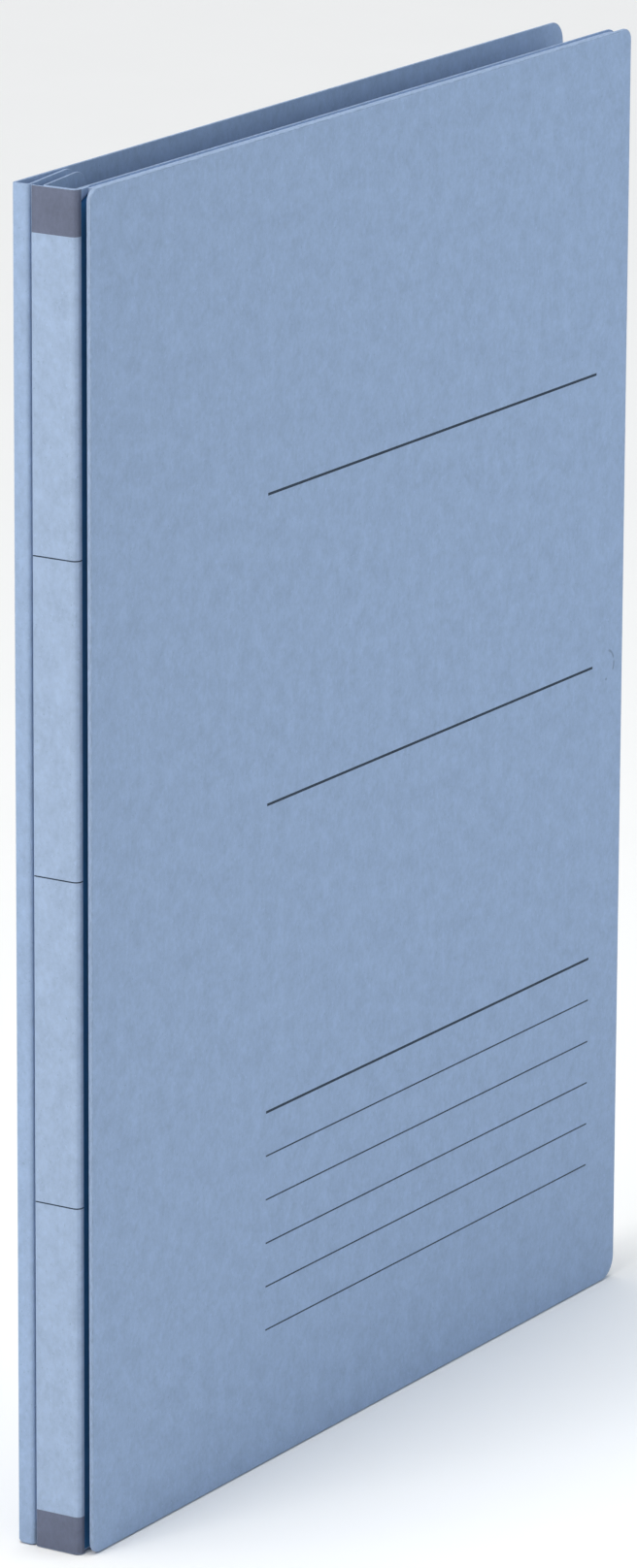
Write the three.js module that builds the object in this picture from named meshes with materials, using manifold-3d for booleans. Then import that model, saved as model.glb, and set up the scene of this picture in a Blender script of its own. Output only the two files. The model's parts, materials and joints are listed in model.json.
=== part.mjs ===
// An A4 expanding-spine file, standing upright and closed, in millimetres.
// +X runs from the spine to the fore edge, +Y from the front cover to the back cover, +Z up.
// The origin is the middle of the footprint.
//
// The file is folded from thin card. A narrow strip and its flap belong to the back cover. The spine
// label, its board and a second flap belong to the front cover. A sheet fixed to the back flap runs
// under the label, round the front corner and into a pocket inside the double front cover, so the spine
// can grow by EXPANSION. Papers are held between the two flaps by a plastic two-strap fastener.

import * as THREE from 'three';
import { mergeVertices } from 'three/addons/utils/BufferGeometryUtils.js';
import Module from 'manifold-3d';

const wasm = await Module();
wasm.setup();

// ---- Driving dimensions ----

const HEIGHT = 307;
const WIDTH = 232;
const THICKNESS = 19;
const EXPANSION = 100; // how far the spine opens out

const OUTER_CARD = 1.1; // the front cover's outer board
const COVER_CARD = 0.6; // the back cover, its spine strip and its flap
const BOARD_CARD = 0.5; // the front cover's inner board, the spine leg and its flap
const SHEET_CARD = 0.25; // the label and the extension sheet
const SLIDE_GAP = 0.15; // either side of the extension sheet, under the label
const LAYER_GAP = 0.1; // between the layers of the front cover
const POCKET_SLOT = 1.4; // from the outer board to the label's turned edge
const OUTER_SETBACK = 1.7; // from the spine's face to the outer board's edge
const REST_GAP = 0.3; // between pieces that rest on each other inside the turned fastener
const FOLD_SEGMENTS = 6;

const HOLE_SPACING = 80;
const HOLE_FROM_FOLD = 10.5;

// ---- Reference planes and lines ----

const SPINE = -WIDTH / 2;
const FORE = WIDTH / 2;
const FRONT = -THICKNESS / 2;
const BACK = THICKNESS / 2;
const MIDDLE = HEIGHT / 2;

// Layers of the front cover, from its face inwards.
const LABEL_TURN = FRONT + OUTER_CARD + POCKET_SLOT; // the face of the label's turned edge
const TAIL = LABEL_TURN + SHEET_CARD + LAYER_GAP;
const INNER = TAIL + SHEET_CARD + LAYER_GAP;

// Layers of the spine, from its face inwards.
const SHEET_X = SPINE + SHEET_CARD + SLIDE_GAP;
const LEG_X = SHEET_X + SHEET_CARD + SLIDE_GAP;

const STRIP_WIDTH = 4.6;
const LABEL_EDGE = BACK - STRIP_WIDTH - 0.5;

const FLAP_SLANT = THREE.MathUtils.degToRad(8);
const BACK_FLAP_REACH = 23;
const FRONT_FLAP_REACH = 21.5;
const FRONT_FOLD = FRONT + 11.4;
const FLAP_CORNER = 6;
const CREASE = 1; // from a fold to the start of the flap that it turns

const SEAM = 3.5; // height of the glued seams along the pocket
const FORE_SEAM = 6;
const SEAM_GAP = 0.1; // between the seam along the fore edge and the other two
const SHEET_INSET = 5; // the extension sheet stops this far from the top and bottom
const OVERLAP = 0.1; // how far pieces of one solid run into each other before they are joined

// ---- Shape helpers ----

function material(color, roughness) {
  return new THREE.MeshStandardMaterial({ color, roughness, metalness: 0 });
}

function toSolid(geometry) {
  const plain = geometry.index ? geometry.toNonIndexed() : geometry.clone();
  plain.deleteAttribute('normal');
  plain.deleteAttribute('uv');
  const merged = mergeVertices(plain, 1e-4);
  return new wasm.Manifold(new wasm.Mesh({
    numProp: 3,
    vertProperties: merged.attributes.position.array,
    triVerts: new Uint32Array(merged.index.array),
  }));
}

function toGeometry(solid) {
  const mesh = solid.getMesh();
  return new THREE.BufferGeometry()
    .setAttribute('position', new THREE.BufferAttribute(mesh.vertProperties, 3))
    .setIndex(new THREE.BufferAttribute(mesh.triVerts, 1));
}

function join(...geometries) {
  return toGeometry(geometries.map(toSolid).reduce((all, next) => all.add(next)));
}

function cut(geometry, ...tools) {
  return toGeometry(tools.map(toSolid).reduce((left, tool) => left.subtract(tool), toSolid(geometry)));
}

function box(x0, x1, y0, y1, z0, z1) {
  return new THREE.BoxGeometry(x1 - x0, y1 - y0, z1 - z0)
    .translate((x0 + x1) / 2, (y0 + y1) / 2, (z0 + z1) / 2);
}

// A centreline through the points with a round fold of the given radius at each inner point,
// as samples that hold a place and the unit normal to its left.
function foldedLine(points, radii) {
  const samples = [];
  const normalOf = (direction) => new THREE.Vector2(-direction.y, direction.x);
  points.forEach((point, i) => {
    const before = i > 0 ? point.clone().sub(points[i - 1]).normalize() : null;
    const after = i < points.length - 1 ? points[i + 1].clone().sub(point).normalize() : null;
    if (!before || !after) {
      samples.push({ place: point, normal: normalOf(before ?? after) });
      return;
    }
    const turn = Math.atan2(before.cross(after), before.dot(after));
    const radius = radii[i - 1];
    const start = point.clone().addScaledVector(before, -radius * Math.tan(Math.abs(turn) / 2));
    const centre = start.clone().addScaledVector(normalOf(before), radius * Math.sign(turn));
    for (let k = 0; k <= FOLD_SEGMENTS; k += 1) {
      const angle = (turn * k) / FOLD_SEGMENTS;
      samples.push({
        place: start.clone().rotateAround(centre, angle),
        normal: normalOf(before).rotateAround(new THREE.Vector2(), angle),
      });
    }
  });
  return samples;
}

// Card of one thickness, folded along a line seen from above and standing from z0 to z1.
function foldedCard(points, radii, thickness, z0, z1) {
  const samples = foldedLine(points.map(([x, y]) => new THREE.Vector2(x, y)), radii);
  const side = (reach) => samples.map(({ place, normal }) => place.clone().addScaledVector(normal, reach));
  const outline = [...side(-thickness / 2), ...side(thickness / 2).reverse()];
  return new THREE.ExtrudeGeometry(new THREE.Shape(outline), { depth: z1 - z0, bevelEnabled: false })
    .translate(0, 0, z0);
}

// A flat panel that faces -Y, with its four corner radii, from the lower spine corner round.
function panel(x0, x1, z0, z1, radii, yFront, thickness) {
  const [lowerSpine, lowerFore, upperFore, upperSpine] = radii;
  const shape = new THREE.Shape();
  shape.moveTo(x0 + lowerSpine, z0);
  shape.lineTo(x1 - lowerFore, z0);
  if (lowerFore) shape.absarc(x1 - lowerFore, z0 + lowerFore, lowerFore, -Math.PI / 2, 0);
  shape.lineTo(x1, z1 - upperFore);
  if (upperFore) shape.absarc(x1 - upperFore, z1 - upperFore, upperFore, 0, Math.PI / 2);
  shape.lineTo(x0 + upperSpine, z1);
  if (upperSpine) shape.absarc(x0 + upperSpine, z1 - upperSpine, upperSpine, Math.PI / 2, Math.PI);
  shape.lineTo(x0, z0 + lowerSpine);
  if (lowerSpine) shape.absarc(x0 + lowerSpine, z0 + lowerSpine, lowerSpine, Math.PI, Math.PI * 1.5);
  return new THREE.ExtrudeGeometry(shape, { depth: thickness, bevelEnabled: false, curveSegments: 8 })
    .rotateX(Math.PI / 2)
    .translate(0, yFront + thickness, 0);
}

// What is cut away to round a flap's free corner at height z. upwards is 1 at the top, -1 at the bottom.
function cornerCutter(endX, z, upwards, radius) {
  const over = 1;
  const shape = new THREE.Shape();
  shape.moveTo(endX - radius, z + upwards * over);
  shape.lineTo(endX - radius, z);
  const from = upwards > 0 ? Math.PI / 2 : -Math.PI / 2;
  shape.absarc(endX - radius, z - upwards * radius, radius, from, 0, upwards > 0);
  shape.lineTo(endX + over * 3, z - upwards * radius);
  shape.lineTo(endX + over * 3, z + upwards * over);
  return new THREE.ExtrudeGeometry(shape, { depth: THICKNESS, bevelEnabled: false, curveSegments: 8 })
    .rotateX(Math.PI / 2)
    .translate(0, BACK, 0);
}

// The point on a slanted flap at a distance from its fold, seen from above.
function alongFlap([x, y], distance) {
  return [x + distance * Math.cos(FLAP_SLANT), y + distance * Math.sin(FLAP_SLANT)];
}

// ---- Materials ----

const coverCard = material(0x8ea5c6, 0.85);
const labelCard = material(0xa9bcd9, 0.85);
const sheetCard = material(0x7f97bd, 0.85);
const fastenerPlastic = material(0xd9dce0, 0.45);
const lockPlastic = material(0x5f6a86, 0.4);

const file = new THREE.Group();

function add(name, geometry, look, parent = file) {
  const mesh = new THREE.Mesh(geometry, look);
  mesh.name = name;
  parent.add(mesh);
  return mesh;
}

// ---- Front cover: two boards joined by seams on three sides, open towards the spine ----

const OUTER_RADII = [2.8, 5.4, 2.8, 2.8];
add('front_cover_outer', panel(
  SPINE + OUTER_SETBACK, FORE, 0, HEIGHT, OUTER_RADII, FRONT, OUTER_CARD,
), coverCard);

const HINGE_GAP = 0.3;
const RETURN_END = LEG_X + 1.7; // where the spine board's turned edge stops
const INNER_SHORT = 0.5;
const INNER_RADII = [0, 5, 5, 0];
add('front_cover_inner', panel(
  RETURN_END + HINGE_GAP, FORE - INNER_SHORT, 0, HEIGHT, INNER_RADII, INNER, BOARD_CARD,
), coverCard);

const SEAM_FRONT = FRONT + OUTER_CARD + LAYER_GAP / 2;
const SEAM_DEPTH = INNER - LAYER_GAP / 2 - SEAM_FRONT;
const SEAM_SPINE_END = SPINE + 5;
const FORE_SEAM_X = FORE - INNER_SHORT - FORE_SEAM;
const SQUARE = [0, 0, 0, 0];
add('pocket_seam_top', panel(
  SEAM_SPINE_END, FORE_SEAM_X - SEAM_GAP, HEIGHT - SEAM, HEIGHT, SQUARE, SEAM_FRONT, SEAM_DEPTH,
), coverCard);
add('pocket_seam_bottom', panel(
  SEAM_SPINE_END, FORE_SEAM_X - SEAM_GAP, 0, SEAM, SQUARE, SEAM_FRONT, SEAM_DEPTH,
), coverCard);
add('pocket_seam_fore', panel(
  FORE_SEAM_X, FORE - INNER_SHORT, 0, HEIGHT, [0, 5, 5, 0], SEAM_FRONT, SEAM_DEPTH,
), coverCard);

// ---- Extension sheet: one sheet, split where it bends into the pocket ----

const LABEL_END = SPINE + 2.1; // where the label's turned edge stops, under the front cover
const TAIL_START = LABEL_END + 0.5;
add('extension_tail', panel(
  TAIL_START, TAIL_START + EXPANSION + 4, SHEET_INSET, HEIGHT - SHEET_INSET, SQUARE, TAIL, SHEET_CARD,
), sheetCard);

const sheetLine = SHEET_X + SHEET_CARD / 2;
const sheetStart = [sheetLine, LABEL_TURN + 1.4];
const sheetFold = [sheetLine, LABEL_EDGE + 0.05];
const SHEET_HOLD = 6; // the part that is glued between the flaps
add('extension_sheet', foldedCard(
  [sheetStart, sheetFold, alongFlap(sheetFold, SHEET_HOLD)],
  [0.5], SHEET_CARD, SHEET_INSET, HEIGHT - SHEET_INSET,
), sheetCard);

// ---- Spine label: wraps round the front corner of the spine ----

const LABEL_WRAP = 1;
const labelLine = SPINE + SHEET_CARD / 2;
const labelTurnLine = LABEL_TURN + SHEET_CARD / 2;
add('spine_label', foldedCard(
  [[labelLine, LABEL_EDGE], [labelLine, labelTurnLine], [LABEL_END, labelTurnLine]],
  [LABEL_WRAP], SHEET_CARD, 0, HEIGHT,
), labelCard);

// ---- Front spine leg, with its turned edge, and the front flap that is folded in from it ----

const legLine = LEG_X + BOARD_CARD / 2;
const returnLine = INNER + BOARD_CARD / 2;
const frontFold = [legLine, FRONT_FOLD];

// The fastener's own frame: its origin is the middle of the file on the front face of the front flap,
// between the two holes, and it is turned with the flaps.
const fastener = new THREE.Group();
const holeLine = alongFlap(frontFold, HOLE_FROM_FOLD);
fastener.position.set(
  holeLine[0] + (BOARD_CARD / 2) * Math.sin(FLAP_SLANT),
  holeLine[1] - (BOARD_CARD / 2) * Math.cos(FLAP_SLANT),
  MIDDLE,
);
fastener.rotation.z = FLAP_SLANT;
file.add(fastener);

const STRAP_WIDTH = 4.6;
const STRAP_CARD = 0.7;
const SLOT_WIDTH = STRAP_WIDTH + 1.4;
const SLOT_HEIGHT = 2;

// The cutters for both strap holes through one flap.
function strapHoles() {
  return [-1, 1].map((side) => {
    const z = MIDDLE + (side * HOLE_SPACING) / 2;
    const x = fastener.position.x;
    return box(x - SLOT_WIDTH / 2, x + SLOT_WIDTH / 2, 0, BACK, z - SLOT_HEIGHT / 2, z + SLOT_HEIGHT / 2);
  });
}

function flap(fold, reach, thickness) {
  const end = alongFlap(fold, reach);
  return cut(
    foldedCard([alongFlap(fold, CREASE), end], [], thickness, 0, HEIGHT),
    cornerCutter(end[0], HEIGHT, 1, FLAP_CORNER),
    cornerCutter(end[0], 0, -1, FLAP_CORNER),
    ...strapHoles(),
  );
}

const PAD = SHEET_INSET - 1; // glued ends, where the label is stuck to the leg
const PAD_FACE = SPINE + SHEET_CARD + 0.05;

function pad(z0) {
  return box(PAD_FACE, LEG_X + OVERLAP, LABEL_TURN + 2.5, FRONT_FOLD - 1, z0, z0 + PAD);
}

add('front_spine_leg', join(
  foldedCard(
    [[RETURN_END, returnLine], [legLine, returnLine], frontFold, alongFlap(frontFold, CREASE - HINGE_GAP)],
    [0.9, 0.5], BOARD_CARD, 0, HEIGHT,
  ),
  pad(0),
  pad(HEIGHT - PAD),
), coverCard);
add('front_flap', flap(frontFold, FRONT_FLAP_REACH, BOARD_CARD), coverCard);

// ---- Back spine strip, and the back flap that is folded in from it ----

const stripLine = SPINE + COVER_CARD / 2;
const backLine = BACK - COVER_CARD / 2;
const CORNER_END = SPINE + 1.1;
const BACK_CREASE = CREASE + 0.4;
const backFold = [stripLine, BACK - STRIP_WIDTH + COVER_CARD / 2];
add('back_spine_strip', foldedCard(
  [[CORNER_END, backLine], [stripLine, backLine], backFold, alongFlap(backFold, BACK_CREASE - HINGE_GAP)],
  [0.7, 0.9], COVER_CARD, 0, HEIGHT,
), coverCard);
add('back_flap', flap(alongFlap(backFold, BACK_CREASE - CREASE), BACK_FLAP_REACH, COVER_CARD), coverCard);

// ---- Back cover ----

add('back_cover', panel(
  CORNER_END + HINGE_GAP, FORE, 0, HEIGHT, [0, 5, 5, 0], BACK - COVER_CARD, COVER_CARD,
), coverCard);

// ---- Fastener, in its own frame: -y is towards the front cover ----

const BASE_FRONT = 4.3;
const BASE_WIDTH = 6;
const BASE_CARD = 0.7;
const BASE_LENGTH = 104;
add('fastener_base', box(
  -BASE_WIDTH / 2, BASE_WIDTH / 2, BASE_FRONT, BASE_FRONT + BASE_CARD, -BASE_LENGTH / 2, BASE_LENGTH / 2,
), fastenerPlastic, fastener);

const RIB = 0.9; // the press bar stands off the flap on this rib
const RIB_WIDTH = 8;
const BAR_CARD = 1;
const RAIL = 0.8;
const BAR_WIDTH = 12;
const BAR_LENGTH = 296;
const BAR_BACK = -REST_GAP - RIB;
const BAR_FACE = BAR_BACK - BAR_CARD;
const STRAP_LIE = BAR_FACE - 0.2 - STRAP_CARD / 2; // centre of the strap where it lies on the bar
const STRAP_BEND = 1.2;
const STRAP_TAIL = EXPANSION + 6;

// side is 1 for the upper strap and -1 for the lower one.
function strap(side) {
  const hole = (side * HOLE_SPACING) / 2;
  const line = [
    [BASE_FRONT - OVERLAP, hole],
    [STRAP_LIE, hole],
    [STRAP_LIE, hole + side * (STRAP_BEND + STRAP_TAIL)],
  ];
  // The line is drawn in (y, z) and extruded along x.
  return foldedCard(line, [STRAP_BEND], STRAP_CARD, -STRAP_WIDTH / 2, STRAP_WIDTH / 2)
    .applyMatrix4(new THREE.Matrix4().makeBasis(
      new THREE.Vector3(0, 1, 0), new THREE.Vector3(0, 0, 1), new THREE.Vector3(1, 0, 0),
    ));
}
add('upper_strap', strap(1), fastenerPlastic, fastener);
add('lower_strap', strap(-1), fastenerPlastic, fastener);

const SLOT_INSIDE = 0.9; // the bar's slot reaches this far from the strap's centre, towards the middle
const SLOT_OUTSIDE = 1.5; // and this far the other way, where the strap bends
const SLOT_SIDE = STRAP_WIDTH / 2 + 0.5;
const CUT_REACH = 5; // through the whole bar

function barSlot(side) {
  const hole = (side * HOLE_SPACING) / 2;
  const ends = [hole - side * SLOT_INSIDE, hole + side * SLOT_OUTSIDE];
  return box(-SLOT_SIDE, SLOT_SIDE, -CUT_REACH, CUT_REACH, Math.min(...ends), Math.max(...ends));
}

const halfBar = BAR_LENGTH / 2;
const rail = (x0) => box(x0, x0 + RAIL, BAR_FACE - RAIL, BAR_FACE + OVERLAP, -halfBar, halfBar);
add('press_bar', cut(
  join(
    box(-RIB_WIDTH / 2, RIB_WIDTH / 2, BAR_BACK - OVERLAP, -REST_GAP, -halfBar, halfBar),
    box(-BAR_WIDTH / 2, BAR_WIDTH / 2, BAR_FACE, BAR_BACK, -halfBar, halfBar),
    rail(-BAR_WIDTH / 2),
    rail(BAR_WIDTH / 2 - RAIL),
  ),
  barSlot(1),
  barSlot(-1),
), fastenerPlastic, fastener);

const LOCK_LENGTH = 16;
const LOCK_PLACE = 62; // from the middle of the file, over the strap
const LOCK_WALL = 0.9;
const LOCK_PLAY = 0.3;
const LOCK_LIP = 0.5; // the lips behind the bar's edges
const LOCK_LIP_REACH = 1.8;
const LOCK_RIDGES = 4;
const RIDGE_HEIGHT = 0.4;
const RIDGE_THICKNESS = 1;
const RIDGE_LENGTH = 9;

function lock(side) {
  const z0 = side * LOCK_PLACE - LOCK_LENGTH / 2;
  const z1 = z0 + LOCK_LENGTH;
  const inside = BAR_WIDTH / 2 + LOCK_PLAY;
  const outside = inside + LOCK_WALL;
  const roof = BAR_FACE - RAIL - LOCK_PLAY;
  const lipFront = BAR_BACK + LOCK_PLAY;
  const wall = (x0) => box(x0, x0 + LOCK_WALL, roof - LOCK_WALL, lipFront + LOCK_LIP, z0, z1);
  const lip = (x0) => box(x0, x0 + LOCK_LIP_REACH, lipFront, lipFront + LOCK_LIP, z0, z1);
  const ridges = Array.from({ length: LOCK_RIDGES }, (_, i) => {
    const z = z0 + (LOCK_LENGTH * (i + 1)) / (LOCK_RIDGES + 1) - RIDGE_THICKNESS / 2;
    const face = roof - LOCK_WALL;
    return box(
      -RIDGE_LENGTH / 2, RIDGE_LENGTH / 2, face - RIDGE_HEIGHT, face + OVERLAP, z, z + RIDGE_THICKNESS,
    );
  });
  return join(
    box(-outside, outside, roof - LOCK_WALL, roof, z0, z1),
    wall(-outside),
    wall(inside),
    lip(-outside),
    lip(outside - LOCK_LIP_REACH),
    ...ridges,
  );
}
add('upper_lock', lock(1), lockPlastic, fastener);
add('lower_lock', lock(-1), lockPlastic, fastener);

export default file;
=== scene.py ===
"""An A4 expanding-spine card file, standing closed: its looks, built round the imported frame.

Lengths here are millimetres, in the frame's own axes: +X from the spine to the fore edge, +Y from the
front cover to the back cover, +Z up. Each piece of card is a flat pattern, folded along a line that is
seen from above, as the real one is cut and creased.
"""

import json
import math
from collections import namedtuple

import bmesh
import bpy
from mathutils import Matrix, Vector


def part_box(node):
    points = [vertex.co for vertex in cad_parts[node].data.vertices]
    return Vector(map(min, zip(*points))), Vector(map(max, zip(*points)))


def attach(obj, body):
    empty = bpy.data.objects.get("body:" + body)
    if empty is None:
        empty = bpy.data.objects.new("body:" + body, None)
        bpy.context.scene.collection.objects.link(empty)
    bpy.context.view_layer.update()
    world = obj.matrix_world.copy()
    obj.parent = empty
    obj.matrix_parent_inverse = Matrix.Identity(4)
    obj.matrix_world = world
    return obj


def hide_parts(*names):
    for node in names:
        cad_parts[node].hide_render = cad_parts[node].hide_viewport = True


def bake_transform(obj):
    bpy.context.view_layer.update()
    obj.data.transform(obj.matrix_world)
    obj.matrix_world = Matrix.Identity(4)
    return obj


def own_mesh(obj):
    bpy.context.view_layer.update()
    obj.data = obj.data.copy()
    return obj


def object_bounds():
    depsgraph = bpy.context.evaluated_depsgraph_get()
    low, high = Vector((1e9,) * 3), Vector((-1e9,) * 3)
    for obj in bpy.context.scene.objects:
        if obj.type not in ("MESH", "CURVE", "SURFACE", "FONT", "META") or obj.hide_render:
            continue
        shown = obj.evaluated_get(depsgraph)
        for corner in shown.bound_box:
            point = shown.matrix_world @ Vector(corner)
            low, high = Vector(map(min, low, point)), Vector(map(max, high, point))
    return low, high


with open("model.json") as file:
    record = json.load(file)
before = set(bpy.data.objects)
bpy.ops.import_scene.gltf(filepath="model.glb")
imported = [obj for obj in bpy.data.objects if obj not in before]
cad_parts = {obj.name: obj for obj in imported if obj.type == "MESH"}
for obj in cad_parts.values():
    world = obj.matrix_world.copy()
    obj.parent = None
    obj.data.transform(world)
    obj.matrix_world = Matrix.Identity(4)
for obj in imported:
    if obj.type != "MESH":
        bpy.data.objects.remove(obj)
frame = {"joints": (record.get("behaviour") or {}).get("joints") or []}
cad_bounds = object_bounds()

MM = 0.001

# ---- Sizes and places, from the frame ----

Span = namedtuple("Span", "x0 y0 z0 x1 y1 z1")


def span(node):
    """The box of a CAD node in millimetres."""
    low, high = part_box(node)
    return Span(*(value / MM for value in (*low, *high)))


OUTER = span("front_cover_outer")
INNER = span("front_cover_inner")
BACK_COVER = span("back_cover")
LABEL = span("spine_label")
STRIP = span("back_spine_strip")
SHEET = span("extension_sheet")
TAIL = span("extension_tail")
BASE = span("fastener_base")
BAR = span("press_bar")

SPINE = STRIP.x0
FORE = OUTER.x1
HEIGHT = OUTER.z1
MIDDLE = HEIGHT / 2
EXPANSION = [j for j in frame["joints"] if j["name"] == "spine_expansion"][0]["range_m"][1] / MM

OUTER_CARD = OUTER.y1 - OUTER.y0
BOARD_CARD = INNER.y1 - INNER.y0
COVER_CARD = BACK_COVER.y1 - BACK_COVER.y0
SHEET_CARD = TAIL.y1 - TAIL.y0

# ---- Sizes that the frame's boxes don't give ----

FLAP_SLANT = math.radians(8)
STRIP_WIDTH = 4.6
BACK_CREASE = 1.4  # from the strip's fold to the start of the back flap
BACK_FLAP = 22.4  # from that crease to the flap's free edge
FRONT_FOLD = OUTER.y0 + 11.4
FRONT_CREASE = 1
FRONT_FLAP = 20.5
FLAP_CORNER = 6
COVER_CORNER = 5
SLIDE_GAP = 0.15  # either side of the extension sheet
HOLE_SPACING = 80
HOLE_WIDTH = 6
HOLE_HEIGHT = 2

ROUNDING = 0.3  # radius on the cut edges of card
ROUNDING_SHARE = 0.42  # of a thin card's thickness
ROUNDING_STEPS = 3
MITRE_LEAST = 0.5  # keeps the rounding of a sharp corner short
FLAP_STEP = 4
FOLD_STEPS = 8
CORNER_STEPS = 8
CORNER_REACH = 14  # a corner's shape is taken up within this height

# ---- Colours, as sRGB shares of 255 ----

COVER_COLOUR = (159, 181, 213)
# the cut edges are painted a shade darker than the faces: painted shade that holds down the top light on the
# upward rims
SHADED_EDGE_COLOUR = (153, 173, 203)
LABEL_COLOUR = (163, 183, 212)
BAND_COLOUR = (105, 112, 134)
LINE_COLOUR = (42, 56, 74)
SHEET_COLOUR = (58, 116, 166)
PLASTIC_COLOUR = (214, 219, 226)
LOCK_COLOUR = (92, 104, 134)
FLOOR_COLOUR = (251, 251, 251)


def linear(colour):
    """A linear colour for a shader from an sRGB colour in steps of 255."""
    def channel(value):
        share = value / 255
        return share / 12.92 if share <= 0.04045 else ((share + 0.055) / 1.055) ** 2.4
    return (*(channel(value) for value in colour), 1)


# ---- Materials ----

# The values that most of a noise lies between: two mixed, one alone, and one with its tails.
MIXED_TONES = (0.36, 0.64)
SINGLE_TONES = (0.35, 0.65)
WIDE_TONES = (0.3, 0.7)


class Nodes:
    """A material and short ways to add nodes to it."""

    def __init__(self, name):
        self.material = bpy.data.materials.new(name)
        self.material.use_nodes = True
        self.tree = self.material.node_tree
        self.shader = self.tree.nodes["Principled BSDF"]
        self.place = self.tree.nodes.new("ShaderNodeTexCoord").outputs["Object"]

    def link(self, value, socket):
        if isinstance(value, bpy.types.NodeSocket):
            self.tree.links.new(value, socket)
        else:
            socket.default_value = value

    def math(self, operation, *values):
        node = self.tree.nodes.new("ShaderNodeMath")
        node.operation = operation
        for value, socket in zip(values, node.inputs):
            self.link(value, socket)
        return node.outputs[0]

    def scaled(self, grain):
        """Object coordinates, stretched along each axis by grain."""
        node = self.tree.nodes.new("ShaderNodeMapping")
        node.inputs["Scale"].default_value = [1 / share for share in grain]
        self.tree.links.new(self.place, node.inputs["Vector"])
        return node.outputs[0]

    def noise(self, size, detail=3, roughness=0.55, grain=(1, 1, 1)):
        """Noise whose features are about size millimetres across."""
        node = self.tree.nodes.new("ShaderNodeTexNoise")
        node.inputs["Scale"].default_value = 1 / (size * MM)
        node.inputs["Detail"].default_value = detail
        node.inputs["Roughness"].default_value = roughness
        self.tree.links.new(self.scaled(grain), node.inputs["Vector"])
        return node.outputs["Fac"]

    def fit(self, value, low, high, to_low=0.0, to_high=1.0):
        node = self.tree.nodes.new("ShaderNodeMapRange")
        for name, number in zip(("Value", "From Min", "From Max", "To Min", "To Max"),
                                (value, low, high, to_low, to_high)):
            self.link(number, node.inputs[name])
        return node.outputs["Result"]

    def mix(self, share, first, second):
        node = self.tree.nodes.new("ShaderNodeMix")
        node.data_type = "RGBA"
        self.link(share, node.inputs[0])
        self.link(first, node.inputs[6])
        self.link(second, node.inputs[7])
        return node.outputs[2]

    def bump(self, height, strength, distance):
        node = self.tree.nodes.new("ShaderNodeBump")
        node.inputs["Strength"].default_value = strength
        node.inputs["Distance"].default_value = distance * MM
        self.tree.links.new(height, node.inputs["Height"])
        self.tree.links.new(node.outputs[0], self.shader.inputs["Normal"])

    def finish(self, colour, roughness, specular=0.3):
        self.link(colour, self.shader.inputs["Base Color"])
        self.link(roughness, self.shader.inputs["Roughness"])
        self.shader.inputs["Specular IOR Level"].default_value = specular
        return self.material


def shade(colour, share):
    """An sRGB colour made lighter (share above 1) or darker, as a linear colour."""
    return linear(tuple(min(255, value * share) for value in colour))


def card_material(name, colour, mark=None):
    """Recycled card: soft clouds, a fine upright grain, pulp specks and a slightly fibrous surface."""
    nodes = Nodes(name)
    clouds = nodes.noise(5, detail=4, roughness=0.6)
    grain = nodes.noise(1.2, detail=4, roughness=0.65, grain=(1, 1, 1.3))
    fibres = nodes.noise(0.3, detail=2, grain=(1, 1, 3))
    tone = nodes.math("ADD", nodes.math("MULTIPLY", clouds, 0.5), nodes.math("MULTIPLY", grain, 0.5))
    base = nodes.mix(nodes.fit(tone, *MIXED_TONES), shade(colour, 0.955), shade(colour, 1.04))
    specks = nodes.fit(nodes.noise(0.8, detail=2, grain=(1, 1, 1.3)), 0.63, 0.72)
    base = nodes.mix(nodes.math("MULTIPLY", specks, 0.35), base, shade(colour, 1.12))
    dust = nodes.fit(nodes.noise(0.6, detail=1), 0.7, 0.76)
    base = nodes.mix(nodes.math("MULTIPLY", dust, 0.4), base, shade(colour, 0.8))
    if mark:
        # painted shade: the pressed ring's dashes are darkened in the colour, standing in for the shade in
        # their grooves
        base = nodes.mix(nodes.math("MULTIPLY", mark(nodes), 0.55), base, shade(colour, 0.66))
    height = nodes.math("ADD", nodes.math("MULTIPLY", grain, 0.6), nodes.math("MULTIPLY", fibres, 0.4))
    nodes.bump(height, 0.35, 0.06)
    return nodes.finish(base, nodes.fit(grain, *WIDE_TONES, 0.8, 0.92), specular=0.22)


def edge_material(name, colour):
    """The cut edge of card, with the plies showing as fine lines."""
    nodes = Nodes(name)
    plies = nodes.noise(0.22, detail=2, grain=(6, 1, 6))
    base = nodes.mix(nodes.fit(plies, *SINGLE_TONES), shade(colour, 0.93), shade(colour, 1.04))
    nodes.bump(plies, 0.3, 0.05)
    return nodes.finish(base, 0.88, specular=0.2)


def ink_material(name, colour, cover):
    """Ink printed on card: the card's own mottling shows through it."""
    nodes = Nodes(name)
    grain = nodes.noise(0.9, detail=4, roughness=0.65, grain=(1, 1, 1.6))
    clouds = nodes.noise(4, detail=3)
    tone = nodes.math("ADD", nodes.math("MULTIPLY", clouds, 0.45), nodes.math("MULTIPLY", grain, 0.55))
    base = nodes.mix(nodes.fit(tone, *MIXED_TONES), shade(colour, 1 - cover), shade(colour, 1 + cover))
    nodes.bump(grain, 0.3, 0.05)
    return nodes.finish(base, nodes.fit(grain, *WIDE_TONES, 0.62, 0.78), specular=0.3)


def plastic_material(name, colour, roughness):
    """Moulded polypropylene with a faint spark-eroded texture."""
    nodes = Nodes(name)
    texture = nodes.noise(0.25, detail=3)
    flow = nodes.noise(14, detail=2, grain=(1, 1, 3))
    base = nodes.mix(nodes.fit(flow, *SINGLE_TONES), shade(colour, 0.97), shade(colour, 1.02))
    nodes.bump(texture, 0.18, 0.03)
    gloss = nodes.fit(texture, *WIDE_TONES, roughness - 0.06, roughness + 0.08)
    return nodes.finish(base, gloss, specular=0.45)
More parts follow.
